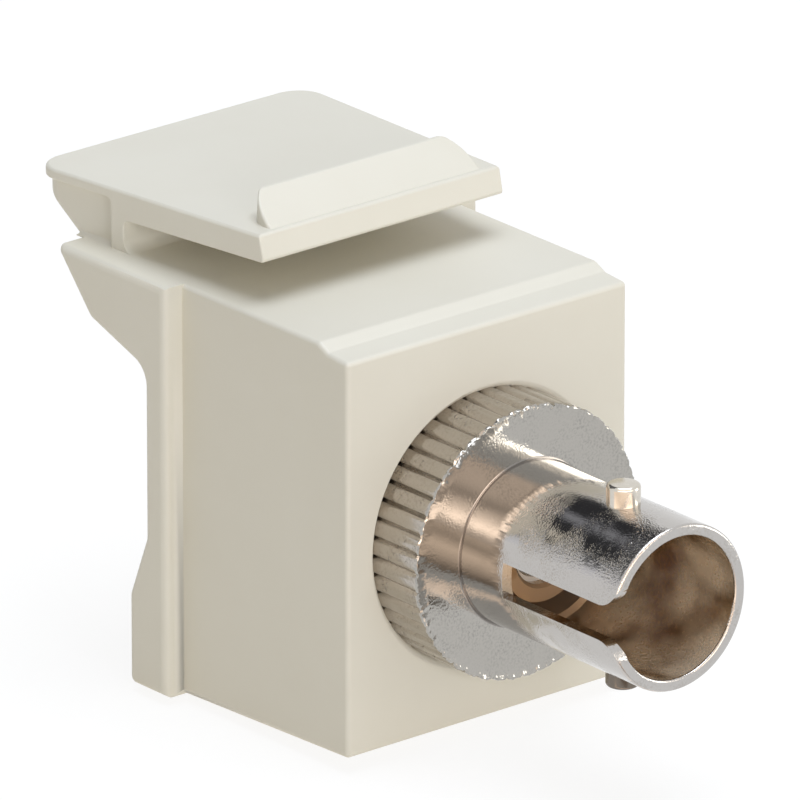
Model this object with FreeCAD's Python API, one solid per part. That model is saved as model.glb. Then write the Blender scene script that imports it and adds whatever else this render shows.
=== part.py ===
"""Snap-in module with a bayonet fibre adapter.

Millimetres. X is to the right for a viewer facing the front, Y runs back through the
module, Z is up. The origin is on the adapter axis in the plane of the front face.
"""
import FreeCAD
import Part

import math
import os

Vector = FreeCAD.Vector

# Housing block, seen from the side
block_width = 14.65
front_drop = 8.28
rear_drop = 8.65
nose_rise = 8.7
block_rise = 9.1
nose_length = 1.25
nose_lift = 0.1
riser_length = 0.6
riser_round = 0.4
block_round = 0.2

# Flange rim and the rear edge of the side walls
shoulder_y = 10.4
rim_step = 0.95
rim_round = 0.35
waist_back = 1.35
waist_drop = 3.87
waist_round = 1.0
wing_knee_back = 4.85
wing_knee_drop = 2.65
wing_knee_round = 0.6
wing_back = 7.15
wing_tip_round = 0.2
tail_back = 2.41
tail_height = 3.93
tail_slope = 2.69
tail_bend = 0.6
tail_corner = 0.3

# Hollow of the housing
front_wall = 3.0
side_wall = 1.2
floor_wall = 1.3
roof_wall = 1.4
wing_wall = 1.975
cavity_round = 0.5

# Lug under the housing
lug_inset = 1.3
lug_height = 0.45
lug_front_y = 6.3
lug_length = 1.0
lug_land = 0.3

# Latch, placed from the shoulder and the top of the block
hinge_back = 4.8
hinge_sink = 0.6
bead_radius = 0.6
bead_clearance = 0.06
trough_wall = 0.55
root_side_gap = 0.2
plate_side_inset = 1.12
plate_taper = 0.85
plate_tail = 5.1
plate_reach = 8.43
plate_rear_stand = 2.4
plate_front_stand = 2.9
plate_corner = 1.3
plate_round = 0.15
tip_thickness = 1.15
tip_lean = 0.28
arm_root_thickness = 1.25
lip_thickness = 0.45
lip_fillet = 0.3
post_lead = 0.42
post_thickness = 0.78
post_fillet = 0.3
web_inset = 0.28
web_knee_stand = 1.6
web_foot_back = 3.0
neck_thickness = 0.8
foot_gap = 0.35
roof_gap = 0.45

# Catch rib across the free end of the latch
rib_setback = 0.26
rib_ramp = 1.48
rib_land = 0.2
rib_back = 0.15
rib_height = 1.15
rib_inset = 0.8
rib_end_lean = 0.7
rib_end_round = 0.5
rib_round = 0.06

# Adapter bodies, all coaxial with Y
collar_radius = 5.8
collar_stand = 2.43
collar_chamfer = 0.15
press_bite = 0.05
hole_chamfer = 0.3
knurl_teeth = 45
knurl_depth = 0.18
knurl_crest = 0.4
barrel_radius = 3.5
barrel_length = 9.37
barrel_wall = 0.5
barrel_chamfer = 0.12
bore_step = 0.2
bore_step_length = 0.2
bore_floor = 1.0
bore_step_stand = 1.5
key_width = 1.5
key_length = 6.75
key_mouth_round = 0.95
mid_plane_y = 2.6
rear_flange_radius = 5.2
spigot_radius = 4.4
spigot_length = 1.6
spigot_end_gap = 0.2

# Alignment sleeve and the tubes that hold it
ferrule_radius = 1.25
sleeve_wall = 0.35
sleeve_length = 11.4
sleeve_slit = 0.4
sleeve_clearance = 0.02
tube_wall = 0.55
tube_lip = 0.5
tube_lead = 0.15
lip_clearance = 0.2

# Bayonet lugs
lug_pin_radius = 0.7
lug_pin_setback = 3.4
lug_pin_span = 8.7
lug_pin_chamfer = 0.12
lug_pin_recess = 0.1

half_width = block_width / 2
rim_half = half_width + rim_step
waist_y = shoulder_y + waist_back
tail_y = shoulder_y + tail_back
wing_y = shoulder_y + wing_back
hinge_y = shoulder_y + hinge_back
hinge_rise = block_rise - hinge_sink
plate_front_y = hinge_y - plate_reach
plate_rear_y = hinge_y + plate_tail
plate_front_rise = block_rise + plate_front_stand
plate_rear_rise = block_rise + plate_rear_stand
plate_rear_half = rim_half - plate_side_inset
plate_front_half = plate_rear_half - plate_taper
post_front_y = hinge_y - post_lead
reach = 4 * (block_width + shoulder_y)
nearness = 1e-5


def outline_face(corners, place):
    """Planar face round (a, b) or (a, b, radius) corners, with true arcs at the radii.

    Args: place turns (a, b) into a point in space.
    """
    spots = [place(corner[0], corner[1]) for corner in corners]
    turns = []
    for i, corner in enumerate(corners):
        here = spots[i]
        radius = sum(corner[2:])
        if not radius:
            turns.append((here, here, here))
            continue
        back = (spots[i - 1] - here).normalize()
        ahead = (spots[(i + 1) % len(spots)] - here).normalize()
        half_angle = back.getAngle(ahead) / 2
        run = radius / math.tan(half_angle)
        sagitta = radius / math.sin(half_angle) - radius
        middle = here + (back + ahead).normalize() * sagitta
        turns.append((here + back * run, middle, here + ahead * run))
    edges = []
    for i, (start, middle, end) in enumerate(turns):
        if start.distanceToPoint(end) > nearness:
            edges.append(Part.Arc(start, middle, end).toShape())
        following = turns[(i + 1) % len(turns)][0]
        edges.append(Part.makeLine(end, following))
    return Part.Face(Part.Wire(edges))


def side_profile(corners, half):
    """Prism of a (y, z) outline, centred on X."""
    face = outline_face(corners, lambda y, z: Vector(-half, y, z))
    return face.extrude(Vector(2 * half, 0, 0))


def plan_profile(corners, low, high):
    """Prism of an (x, y) outline between two heights."""
    face = outline_face(corners, lambda x, y: Vector(x, y, low))
    return face.extrude(Vector(0, 0, high - low))


def front_profile(corners, near, far):
    """Prism of an (x, z) outline between two depths."""
    face = outline_face(corners, lambda x, z: Vector(x, near, z))
    return face.extrude(Vector(0, far - near, 0))


def turned(corners):
    """Solid of revolution about Y from an (r, y) outline."""
    face = outline_face(corners, lambda r, y: Vector(r, y, 0))
    return face.revolve(Vector(0, 0, 0), Vector(0, 1, 0), 360)


def bar(radius, half, y, z):
    """Round bar along X, centred on X."""
    return Part.makeCylinder(radius, 2 * half, Vector(-half, y, z), Vector(1, 0, 0))


def block(x_half, y_near, y_far, z_low, z_high):
    """Box centred on X."""
    return Part.makeBox(2 * x_half, y_far - y_near, z_high - z_low, Vector(-x_half, y_near, z_low))


def rounded(shape, radius, chosen):
    """Shape with a fillet along every edge whose centre satisfies a test."""
    edges = [edge for edge in shape.Edges if chosen(edge.CenterOfMass)]
    return shape.makeFillet(radius, edges)


def plate_top(y):
    """Height of the latch plate at a depth."""
    share = (y - plate_front_y) / (plate_rear_y - plate_front_y)
    return plate_front_rise + share * (plate_rear_rise - plate_front_rise)


def make_housing():
    """Moulded housing with the trough for the latch root."""
    nose_end = nose_length + riser_length
    shell = side_profile(
        [
            (0, -front_drop),
            (shoulder_y, -rear_drop),
            (shoulder_y, block_rise),
            (nose_end, block_rise, riser_round),
            (nose_length, nose_rise + nose_lift, riser_round),
            (0, nose_rise),
        ],
        half_width,
    )
    shell = rounded(
        shell,
        block_round,
        lambda c: c.y < nearness or (abs(c.x) > half_width - nearness and c.y < shoulder_y - nearness),
    )
    tail_knee = -rear_drop + tail_height
    waist_rise = block_rise - waist_drop
    walls = side_profile(
        [
            (shoulder_y, -rear_drop),
            (tail_y, -rear_drop, tail_corner),
            (tail_y, tail_knee, tail_bend),
            (waist_y, tail_knee + tail_slope, tail_bend),
            (waist_y, waist_rise, waist_round),
            (shoulder_y + wing_knee_back, block_rise - wing_knee_drop, wing_knee_round),
            (wing_y, block_rise, wing_tip_round),
            (shoulder_y, block_rise),
        ],
        rim_half,
    )
    walls = rounded(walls, rim_round, lambda c: abs(c.x) > rim_half - nearness)
    shell = shell.fuse(walls)

    cavity_half = half_width - side_wall
    roof_low = block_rise - roof_wall
    floor_high = -front_drop + floor_wall
    cavity = front_profile(
        [
            (-cavity_half, floor_high, cavity_round),
            (cavity_half, floor_high, cavity_round),
            (cavity_half, roof_low, cavity_round),
            (-cavity_half, roof_low, cavity_round),
        ],
        front_wall,
        reach,
    )
    shell = shell.cut(cavity)
    wing_half = rim_half - wing_wall
    roof_end = hinge_y - neck_thickness / 2 - roof_gap
    shell = shell.cut(block(wing_half, roof_end, reach, roof_low - cavity_round, reach))

    trough = bead_radius + bead_clearance
    lintel_far = hinge_y + trough + trough_wall
    lintel_low = hinge_rise - trough - trough_wall
    lintel = side_profile(
        [
            (roof_end - roof_gap, lintel_low),
            (hinge_y, lintel_low),
            (lintel_far, hinge_rise - trough_wall),
            (lintel_far, hinge_rise),
            (roof_end - roof_gap, hinge_rise),
        ],
        wing_half + wing_wall / 2,
    )
    shell = shell.fuse(lintel)
    shell = shell.cut(bar(trough, wing_half, hinge_y, hinge_rise))

    lug_far = lug_front_y + lug_length
    lug_base = -front_drop
    lug_low = -front_drop - (rear_drop - front_drop) * lug_far / shoulder_y - lug_height
    lug = side_profile(
        [
            (lug_front_y, lug_base),
            (lug_front_y, lug_low + lug_height),
            (lug_far - lug_land, lug_low),
            (lug_far, lug_low),
            (lug_far, lug_base),
        ],
        half_width - lug_inset,
    )
    shell = shell.fuse(lug)

    hole = collar_radius - press_bite
    shell = shell.cut(
        turned(
            [
                (0, -hole_chamfer),
                (hole + 2 * hole_chamfer, -hole_chamfer),
                (hole, hole_chamfer),
                (hole, 2 * front_wall),
                (0, 2 * front_wall),
            ]
        )
    )
    return shell.removeSplitter()


def plate_outline(inset):
    """Plan of the latch plate, drawn in by an inset."""
    slope = plate_taper / (plate_rear_y - plate_front_y)
    tip_y = plate_front_y - tip_lean
    tip_half = plate_front_half - slope * tip_lean - inset
    rear_y = plate_rear_y - inset
    rear_half = plate_rear_half - inset
    corner = plate_corner - inset
    return [
        (tip_half, tip_y),
        (rear_half, rear_y, corner),
        (-rear_half, rear_y, corner),
        (-tip_half, tip_y),
    ]


def make_latch():
    """Latch arm with its catch rib, post, web and root bead."""
    underside = plate_top(post_front_y) - arm_root_thickness
    ridge_y = post_front_y + post_thickness
    foot = block_rise + foot_gap
    arm = side_profile(
        [
            (plate_front_y, plate_front_rise),
            (plate_front_y - tip_lean, plate_front_rise - tip_thickness, plate_round),
            (post_front_y, underside, post_fillet),
            (post_front_y, foot),
            (ridge_y, foot),
            (ridge_y, plate_top(ridge_y) - lip_thickness, lip_fillet),
            (plate_rear_y, plate_rear_rise - lip_thickness),
            (plate_rear_y, plate_rear_rise),
        ],
        plate_rear_half,
    )
    arm = arm.common(plan_profile(plate_outline(0), foot, foot + reach))
    arm = rounded(arm, plate_round, lambda c: abs(c.z - plate_top(c.y)) < nearness)

    web_near = post_front_y + post_thickness / 2
    web_far = plate_rear_y - web_inset
    web = side_profile(
        [
            (web_near, foot),
            (hinge_y + web_foot_back, foot),
            (web_far, block_rise + web_knee_stand),
            (web_far, plate_top(web_far) - lip_thickness / 2),
            (web_near, plate_top(web_near) - lip_thickness / 2),
        ],
        plate_rear_half,
    )
    web = web.common(plan_profile(plate_outline(web_inset), foot, foot + reach))

    root_half = rim_half - wing_wall - root_side_gap
    neck_near = hinge_y - neck_thickness / 2
    neck = block(root_half, neck_near, neck_near + neck_thickness, hinge_rise, foot + post_fillet)
    bead = bar(bead_radius, root_half, hinge_y, hinge_rise)

    rib_near = plate_front_y + rib_setback
    rib_crest_y = rib_near + rib_ramp
    rib_far = rib_crest_y + rib_land + rib_back
    rib_foot = plate_top(rib_crest_y) - lip_thickness / 2
    rib_root = plate_top(rib_near)
    rib_top = rib_root + rib_height
    rib_half = plate_front_half - rib_inset
    rib = side_profile(
        [
            (rib_near, rib_foot),
            (rib_near, rib_root),
            (rib_crest_y, rib_top, rib_round),
            (rib_crest_y + rib_land, rib_top, rib_round),
            (rib_far, rib_foot),
        ],
        rib_half,
    )
    ends = front_profile(
        [
            (-rib_half, rib_foot),
            (rib_half, rib_foot),
            (rib_half - rib_end_lean, rib_top, rib_end_round),
            (-rib_half + rib_end_lean, rib_top, rib_end_round),
        ],
        rib_near,
        rib_far,
    )
    latch = arm.fuse([web, neck, bead, rib.common(ends)])
    return latch.removeSplitter()


def knurl(near, far):
    """Toothed prism of the collar."""
    pitch = 2 * math.pi / knurl_teeth
    crest = pitch * knurl_crest / 2
    tooth = ((-crest, collar_radius), (crest, collar_radius), (pitch / 2, collar_radius - knurl_depth))
    corners = []
    for i in range(knurl_teeth):
        for offset, radius in tooth:
            angle = i * pitch + offset
            corners.append((radius * math.cos(angle), radius * math.sin(angle)))
    return front_profile(corners, near, far)


def half_outline(root_y, direction, outer):
    """Outline of a barrel half in (r, y), from the sleeve chamber to the barrel root.

    Args: root_y is the shoulder that the barrel stands on, direction is the sense of the
    mouth along Y, outer is the outline of the hub outside the chamber.
    """
    mouth = root_y + direction * barrel_length
    bore = barrel_radius - barrel_wall
    chamber = ferrule_radius + sleeve_wall + sleeve_clearance
    sleeve_end = mid_plane_y + direction * sleeve_length / 2
    tip = sleeve_end + direction * tube_lip
    lip = ferrule_radius + lip_clearance
    step = root_y + direction * bore_step_stand
    floor = root_y - direction * bore_floor
    return outer + [
        (barrel_radius, root_y),
        (barrel_radius, mouth - direction * barrel_chamfer),
        (barrel_radius - barrel_chamfer, mouth),
        (bore + barrel_chamfer, mouth),
        (bore, mouth - direction * barrel_chamfer),
        (bore, step + direction * bore_step_length),
        (bore - bore_step, step),
        (bore - bore_step, floor),
        (chamber + tube_wall, floor),
        (chamber + tube_wall, tip),
        (lip + tube_lead, tip),
        (lip, tip - direction * tube_lead),
        (lip, sleeve_end),
        (chamber, sleeve_end),
    ]


def key_slot(root_y, direction):
    """Cutter for the key slot at the left of the barrel, flared at the mouth."""
    mouth = root_y + direction * barrel_length
    inner = mouth - direction * key_length
    beyond = mouth + direction * barrel_radius
    side = key_width / 2
    flare = side + 2 * key_mouth_round
    corners = [
        (inner, -side),
        (mouth, -side, key_mouth_round),
        (mouth, -flare),
        (beyond, -flare),
        (beyond, flare),
        (mouth, flare),
        (mouth, side, key_mouth_round),
        (inner, side),
    ]
    face = outline_face(corners, lambda y, z: Vector(-2 * barrel_radius, y, z))
    return face.extrude(Vector(barrel_radius + 2 * barrel_wall, 0, 0))


def lug_pins(root_y, direction):
    """Two bayonet lugs, one above and one below the barrel."""
    y = root_y + direction * (barrel_length - lug_pin_setback)
    inner = barrel_radius - barrel_wall + lug_pin_recess
    outer = lug_pin_span / 2
    pins = []
    for sense in (1, -1):
        shoulder = outer - lug_pin_chamfer
        up = Vector(0, 0, sense)
        shank = Part.makeCylinder(lug_pin_radius, shoulder - inner, Vector(0, y, sense * inner), up)
        cap = Part.makeCone(
            lug_pin_radius,
            lug_pin_radius - lug_pin_chamfer,
            lug_pin_chamfer,
            Vector(0, y, sense * shoulder),
            up,
        )
        pins.append(shank.fuse(cap).removeSplitter())
    return pins


front_root = -collar_stand
rear_root = 2 * mid_plane_y + collar_stand
chamber_radius = ferrule_radius + sleeve_wall + sleeve_clearance


def make_front_body():
    """Front casting: knurled collar, barrel and sleeve tube."""
    socket_floor = front_wall - spigot_length - spigot_end_gap
    outer = [
        (chamber_radius, socket_floor),
        (spigot_radius, socket_floor),
        (spigot_radius, front_wall),
        (collar_radius, front_wall),
        (collar_radius, front_root + collar_chamfer),
        (collar_radius - collar_chamfer, front_root),
    ]
    body = turned(half_outline(front_root, -1, outer))
    sheath = Part.makeCylinder(2 * collar_radius, barrel_length + collar_radius,
                               Vector(0, front_root - barrel_length - collar_radius, 0), Vector(0, 1, 0))
    body = body.common(knurl(front_root, front_wall).fuse(sheath))
    body = body.cut(key_slot(front_root, -1))
    for pin in lug_pins(front_root, -1):
        body = body.cut(pin)
    return body.removeSplitter()


def make_rear_body():
    """Rear casting: spigot, flange, barrel and sleeve tube."""
    outer = [
        (chamber_radius, front_wall - spigot_length),
        (spigot_radius, front_wall - spigot_length),
        (spigot_radius, front_wall),
        (rear_flange_radius, front_wall),
        (rear_flange_radius, rear_root - collar_chamfer),
        (rear_flange_radius - collar_chamfer, rear_root),
    ]
    body = turned(half_outline(rear_root, 1, outer))
    body = body.cut(key_slot(rear_root, 1))
    for pin in lug_pins(rear_root, 1):
        body = body.cut(pin)
    return body.removeSplitter()


def make_sleeve():
    """Split sleeve between the two tube lips."""
    near = mid_plane_y - sleeve_length / 2
    start = Vector(0, near, 0)
    along = Vector(0, 1, 0)
    ring = Part.makeCylinder(ferrule_radius + sleeve_wall, sleeve_length, start, along)
    ring = ring.cut(Part.makeCylinder(ferrule_radius, sleeve_length, start, along))
    slit = Part.makeBox(sleeve_slit, sleeve_length, 2 * chamber_radius, Vector(-sleeve_slit / 2, near, 0))
    return ring.cut(slit)


def main():
    """Build every node and write its file."""
    os.makedirs("parts", exist_ok=True)
    nodes = {
        "keystone_housing": make_housing(),
        "latch_arm": make_latch(),
        "front_body": make_front_body(),
        "front_lugs": Part.makeCompound(lug_pins(front_root, -1)),
        "rear_body": make_rear_body(),
        "rear_lugs": Part.makeCompound(lug_pins(rear_root, 1)),
        "alignment_sleeve": make_sleeve(),
    }
    for name, shape in nodes.items():
        shape.exportStep("parts/" + name + ".step")


main()
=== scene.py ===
"""Looks of a snap-in module with a bayonet fibre adapter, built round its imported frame.

The moulded housing and latch, the two nickelled castings with their bayonet lugs and the
ceramic sleeve are each a class that builds its mesh and dresses it. Sizes are in millimetres
and become metres where a mesh is made.
"""
import logging
import math
from dataclasses import dataclass, field
from enum import Enum
from functools import cached_property

import bmesh
import bpy
import numpy as np
from mathutils import Matrix, Vector


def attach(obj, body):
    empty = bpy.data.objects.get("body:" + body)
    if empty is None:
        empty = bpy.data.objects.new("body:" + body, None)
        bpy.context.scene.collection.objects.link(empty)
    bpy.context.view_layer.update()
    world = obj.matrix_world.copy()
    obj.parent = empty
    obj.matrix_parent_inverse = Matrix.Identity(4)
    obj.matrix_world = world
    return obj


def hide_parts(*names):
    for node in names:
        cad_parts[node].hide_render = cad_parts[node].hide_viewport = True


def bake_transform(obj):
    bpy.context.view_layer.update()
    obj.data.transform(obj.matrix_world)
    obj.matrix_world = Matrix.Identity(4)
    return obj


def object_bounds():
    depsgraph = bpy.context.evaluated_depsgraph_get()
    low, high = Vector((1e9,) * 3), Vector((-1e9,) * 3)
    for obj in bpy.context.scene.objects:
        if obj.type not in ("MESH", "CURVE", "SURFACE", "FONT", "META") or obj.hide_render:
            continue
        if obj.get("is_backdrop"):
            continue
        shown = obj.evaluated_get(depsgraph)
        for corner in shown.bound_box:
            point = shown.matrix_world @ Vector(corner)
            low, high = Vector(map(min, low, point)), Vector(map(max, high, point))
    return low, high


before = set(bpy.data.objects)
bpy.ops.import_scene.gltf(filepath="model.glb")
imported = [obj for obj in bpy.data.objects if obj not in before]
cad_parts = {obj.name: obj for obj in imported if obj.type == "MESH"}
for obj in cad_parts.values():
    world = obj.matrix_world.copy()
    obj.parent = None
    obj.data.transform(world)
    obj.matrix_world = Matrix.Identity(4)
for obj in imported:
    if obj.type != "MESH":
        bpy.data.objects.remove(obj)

log = logging.getLogger("adapter")

MM = 0.001
WELD_MM = 0.0005
SLIVER_MM = 0.0002
FLAT_DEG = 0.2
FLAT_WEIGHT = 80
IMAGE_SIDE = 800
SENSOR_MM = 36.0
WHITE = (1.0, 1.0, 1.0, 1.0)
REMAP_INPUTS = ("Value", "From Min", "From Max", "To Min", "To Max")

Pair = tuple[float, float]
Point = tuple[float, float, float]
Piece = bpy.types.Object
Shape = bmesh.types.BMesh
Ring = list[bmesh.types.BMVert]
Socket = bpy.types.NodeSocket
Tree = bpy.types.NodeTree


class Body(Enum):
    """Moving bodies of the frame."""

    MODULE = "module"
    LATCH = "latch"


class Slot(Enum):
    """Material slots of the record."""

    PLASTIC = "ivory_plastic"
    CASTING = "nickel_casting"
    PIN = "nickel_pin"
    CERAMIC = "ceramic"


class Way(Enum):
    """Sense along Y in which a barrel opens."""

    FRONT = -1
    REAR = 1


class Zone(Enum):
    """Parts of a casting's skin, by the place of their finish on the piece."""

    OUTSIDE = 0
    FACE = 1
    BORE = 2
    KNURL = 3


def linear(code: str) -> tuple[float, float, float, float]:
    """Turn an sRGB hex colour into linear RGBA.

    Args:
        code: Six hex digits.

    Returns:
        Linear red, green and blue, with an alpha of one.
    """
    parts = [int(code[i : i + 2], 16) / 255 for i in (0, 2, 4)]
    rgb = [c / 12.92 if c <= 0.04045 else ((c + 0.055) / 1.055) ** 2.4 for c in parts]
    return rgb[0], rgb[1], rgb[2], 1.0


def add_node(tree: Tree, kind: str, inputs: dict | None = None, **settings: object) -> bpy.types.Node:
    """Add a node with its settings, input values and links.

    Args:
        tree: Node tree that gets the node.
        kind: Blender's name of the node's type.
        inputs: Values or output sockets, keyed by the input's name or number.
        **settings: Attributes of the node, set before its inputs.

    Returns:
        The new node.
    """
    node = tree.nodes.new(kind)
    for key, value in settings.items():
        setattr(node, key, value)
    for key, value in (inputs or {}).items():
        if isinstance(value, Socket):
            tree.links.new(value, node.inputs[key])
        else:
            node.inputs[key].default_value = value
    return node


def blank_tree(owner: bpy.types.Material | bpy.types.World) -> Tree:
    """Clear the nodes of a new material or world.

    Args:
        owner: Material or world.

    Returns:
        Its empty tree.
    """
    owner.use_nodes = True
    owner.node_tree.nodes.clear()
    return owner.node_tree


def per_mm(size: float) -> float:
    """Texture scale whose features are about size millimetres wide."""
    return 1 / (size * MM)


def metres(pair: Pair) -> Pair:
    """Two lengths in millimetres, as metres."""
    return pair[0] * MM, pair[1] * MM


@dataclass
class Graph:
    """Node tree with the steps that its nodes share, each of which returns a socket."""

    tree: Tree

    @cached_property
    def place(self) -> Socket:
        """Object coordinates."""
        return add_node(self.tree, "ShaderNodeTexCoord").outputs["Object"]

    def axis(self, name: str) -> Socket:
        """One of the object coordinates, by its letter."""
        return add_node(self.tree, "ShaderNodeSeparateXYZ", {"Vector": self.place}).outputs[name]

    def noise(self, size_mm: float, detail: float) -> Socket:
        """Noise from zero to one, with features of about a size."""
        inputs = {"Vector": self.place, "Scale": per_mm(size_mm), "Detail": detail}
        return add_node(self.tree, "ShaderNodeTexNoise", inputs).outputs["Fac"]

    def remap(self, value: Socket, ends: Pair, within: Pair = (0.0, 1.0), **settings: object) -> Socket:
        """Value turned from the range within to the one between the ends, and held there."""
        inputs = dict(zip(REMAP_INPUTS, (value, *within, *ends)))
        return add_node(self.tree, "ShaderNodeMapRange", inputs, **settings).outputs["Result"]

    def maths(self, operation: str, a: Socket | float, b: Socket | float = 0.0) -> Socket:
        """Result of one operation on numbers."""
        return add_node(self.tree, "ShaderNodeMath", {0: a, 1: b}, operation=operation).outputs["Value"]

    def mix(self, share: Socket, a: Socket | tuple, b: Socket | tuple) -> Socket:
        """Colour between two colours."""
        inputs = {"Factor": share, "A": a, "B": b}
        return add_node(self.tree, "ShaderNodeMix", inputs, data_type="RGBA").outputs["Result"]

    def bump(self, height: Socket, depth_mm: float, strength: float) -> Socket:
        """Normal of a bumpy surface of some depth."""
        inputs = {"Height": height, "Strength": strength, "Distance": depth_mm * MM}
        return add_node(self.tree, "ShaderNodeBump", inputs).outputs["Normal"]

    def cover(self, share: Socket, under: Socket, over: Socket) -> Socket:
        """Shader with a share of another laid over it."""
        return add_node(self.tree, "ShaderNodeMixShader", {0: share, 1: under, 2: over}).outputs["Shader"]


@dataclass(frozen=True)
class Finish:
    """A real material as its process leaves it."""

    name: str
    slot: Slot

    def surface(self, graph: Graph) -> dict:
        """Values and sockets for the Principled shader of this finish."""
        raise NotImplementedError

    def material(self) -> bpy.types.Material:
        """Material of this finish, made once.

        Returns:
            The material, with its node tree.
        """
        if self.name in bpy.data.materials:
            return bpy.data.materials[self.name]
        material = bpy.data.materials.new(self.name)
        tree = blank_tree(material)
        shader = add_node(tree, "ShaderNodeBsdfPrincipled", self.surface(Graph(tree)))
        add_node(tree, "ShaderNodeOutputMaterial", {"Surface": shader.outputs["BSDF"]})
        return material


@dataclass(frozen=True)
class MouldedAbs(Finish):
    """Ivory ABS from a fine spark-eroded mould: a soft sheen, barely clouded, on a fine even grain."""

    pale: str = "E5E1D3"
    deep: str = "DFDACA"
    cloud_mm: float = 5.0
    grain_mm: float = 0.16
    grain_depth_mm: float = 0.0025
    grain_strength: float = 0.6
    gloss: Pair = (0.40, 0.50)
    refraction: float = 1.53

    def surface(self, graph: Graph) -> dict:
        """Clouded ivory over a fine grain.

        Args:
            graph: Nodes of the material.

        Returns:
            Values and sockets for the Principled shader.
        """
        cloud = graph.noise(self.cloud_mm, detail=3.0)
        # Real spark grain is near 0.05 mm and is drawn coarser here so that it shows.
        grain = graph.noise(self.grain_mm, detail=2.0)
        return {
            "Base Color": graph.mix(cloud, linear(self.deep), linear(self.pale)),
            "Roughness": graph.remap(cloud, self.gloss),
            "Normal": graph.bump(grain, self.grain_depth_mm, self.grain_strength),
            "IOR": self.refraction,
        }


@dataclass(frozen=True)
class NickelCasting(Finish):
    """Tumbled zinc die-casting under bright nickel: mirror-like, with a sandy sparkle in patches."""

    bright: str = "BCB9B6"
    dull: str = "AEAAA5"
    metal: float = 1.0
    grain_mm: float = 0.08
    grain_depth_mm: float = 0.022
    pit_range: Pair = (0.55, 0.3)
    patch_mm: float = 1.3
    patch_range: Pair = (0.4, 0.6)
    smooth_share: float = 0.2
    middle_mm: float = 2.6
    hub_mm: Pair = (6.9, 8.8)
    hub_share: float = 0.06
    gloss: Pair = (0.07, 0.13)

    def along(self, graph: Graph) -> Socket:
        """Distance from the middle of the adapter along its axis, in metres."""
        return graph.maths("ABSOLUTE", graph.maths("SUBTRACT", graph.axis("Y"), self.middle_mm * MM))

    def surface(self, graph: Graph) -> dict:
        """Grainy bright plate with rougher pits, which are painted darker as shade inside them.

        Args:
            graph: Nodes of the material.

        Returns:
            Values and sockets for the Principled shader.
        """
        patch = graph.noise(self.patch_mm, detail=2.0)
        sandy = graph.remap(patch, (self.smooth_share, 1.0), self.patch_range)
        # The sand fades towards the hub, where the mould is polished.
        reach, ends = metres(self.hub_mm), (self.hub_share, 1.0)
        fade = graph.remap(self.along(graph), ends, reach, interpolation_type="SMOOTHSTEP")
        sand = graph.maths("MULTIPLY", sandy, fade)
        # Cast sand is near 0.05 mm and is drawn a little coarser here so that it shows.
        grain = graph.noise(self.grain_mm, detail=1.5)
        # The pits are rougher, and their darker colour is painted shade for the shadow inside them.
        pits = graph.maths("MULTIPLY", graph.remap(grain, (0.0, 1.0), self.pit_range), sand)
        return {
            "Base Color": graph.mix(pits, linear(self.bright), linear(self.dull)),
            "Metallic": self.metal,
            "Roughness": graph.remap(pits, self.gloss),
            "Normal": graph.bump(graph.maths("MULTIPLY", grain, sand), self.grain_depth_mm, strength=1.0),
        }


@dataclass(frozen=True)
class ThinPlateAndShade(NickelCasting):
    """Plate that is thin in clouds, where the warm base metal shows. The same colour darkens the bottom of a
    bore as painted shade.
    """

    stain_and_shade: str = "8F7352"
    stain_mm: float = 2.8
    stain_range: Pair = (0.4, 0.62)
    painted_shade_mm: Pair = (7.2, 9.8)
    painted_shade_share: float = 0.7

    def surface(self, graph: Graph) -> dict:
        """Grainy plate with brown clouds and painted shade at the bottom of the bore.

        Args:
            graph: Nodes of the material.

        Returns:
            Values and sockets for the Principled shader.
        """
        values = super().surface(graph)
        worn = graph.remap(graph.noise(self.stain_mm, detail=2.5), (0.0, 1.0), self.stain_range)
        # Painted shade: the colour darkens deeper in the bore, away from the mouth.
        deep = graph.remap(self.along(graph), (self.painted_shade_share, 0.0), metres(self.painted_shade_mm))
        colour = graph.mix(graph.maths("MAXIMUM", worn, deep), values["Base Color"], linear(self.stain_and_shade))
        return values | {"Base Color": colour}


@dataclass(frozen=True)
class PolishedNickel(Finish):
    """Turned and polished nickelled pin: clean, faintly warm reflections. The lower pins get a dark painted
    shade for the barrel's shadow over them.
    """

    bright: str = "D6D1C8"
    dull: str = "C9C3B8"
    painted_shade: str = "756D64"
    scratch_mm: float = 0.25
    scratch_depth_mm: float = 0.0012
    scratch_strength: float = 0.5
    gloss: Pair = (0.1, 0.2)

    def surface(self, graph: Graph) -> dict:
        """Fine polishing marks on a warm plate, with painted shade on the lower pins.

        Args:
            graph: Nodes of the material.

        Returns:
            Values and sockets for the Principled shader.
        """
        mark = graph.noise(self.scratch_mm, detail=3.0)
        plate = graph.mix(mark, linear(self.dull), linear(self.bright))
        # Painted shade: the lower pins, below the axis, get a dark colour for the barrel's shadow over them.
        under = graph.maths("LESS_THAN", graph.axis("Z"), 0.0)
        return {
            "Base Color": graph.mix(under, plate, linear(self.painted_shade)),
            "Metallic": 1.0,
            "Roughness": graph.remap(mark, self.gloss),
            "Normal": graph.bump(mark, self.scratch_depth_mm, self.scratch_strength),
        }


@dataclass(frozen=True)
class GroundZirconia(Finish):
    """Fired zirconia, ground and lapped: dense, glossy white with a faint cream cloud."""

    pale: str = "EFEDE6"
    deep: str = "E4E0D4"
    cloud_mm: float = 1.2
    gloss: Pair = (0.14, 0.24)
    refraction: float = 2.1

    def surface(self, graph: Graph) -> dict:
        """Cream-clouded glossy white.

        Args:
            graph: Nodes of the material.

        Returns:
            Values and sockets for the Principled shader.
        """
        cloud = graph.noise(self.cloud_mm, detail=2.0)
        return {
            "Base Color": graph.mix(cloud, linear(self.deep), linear(self.pale)),
            "Roughness": graph.remap(cloud, self.gloss),
            "IOR": self.refraction,
        }


IVORY = MouldedAbs("moulded_ivory_abs", Slot.PLASTIC)
CASTING = NickelCasting("nickelled_zinc_casting", Slot.CASTING)
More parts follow.
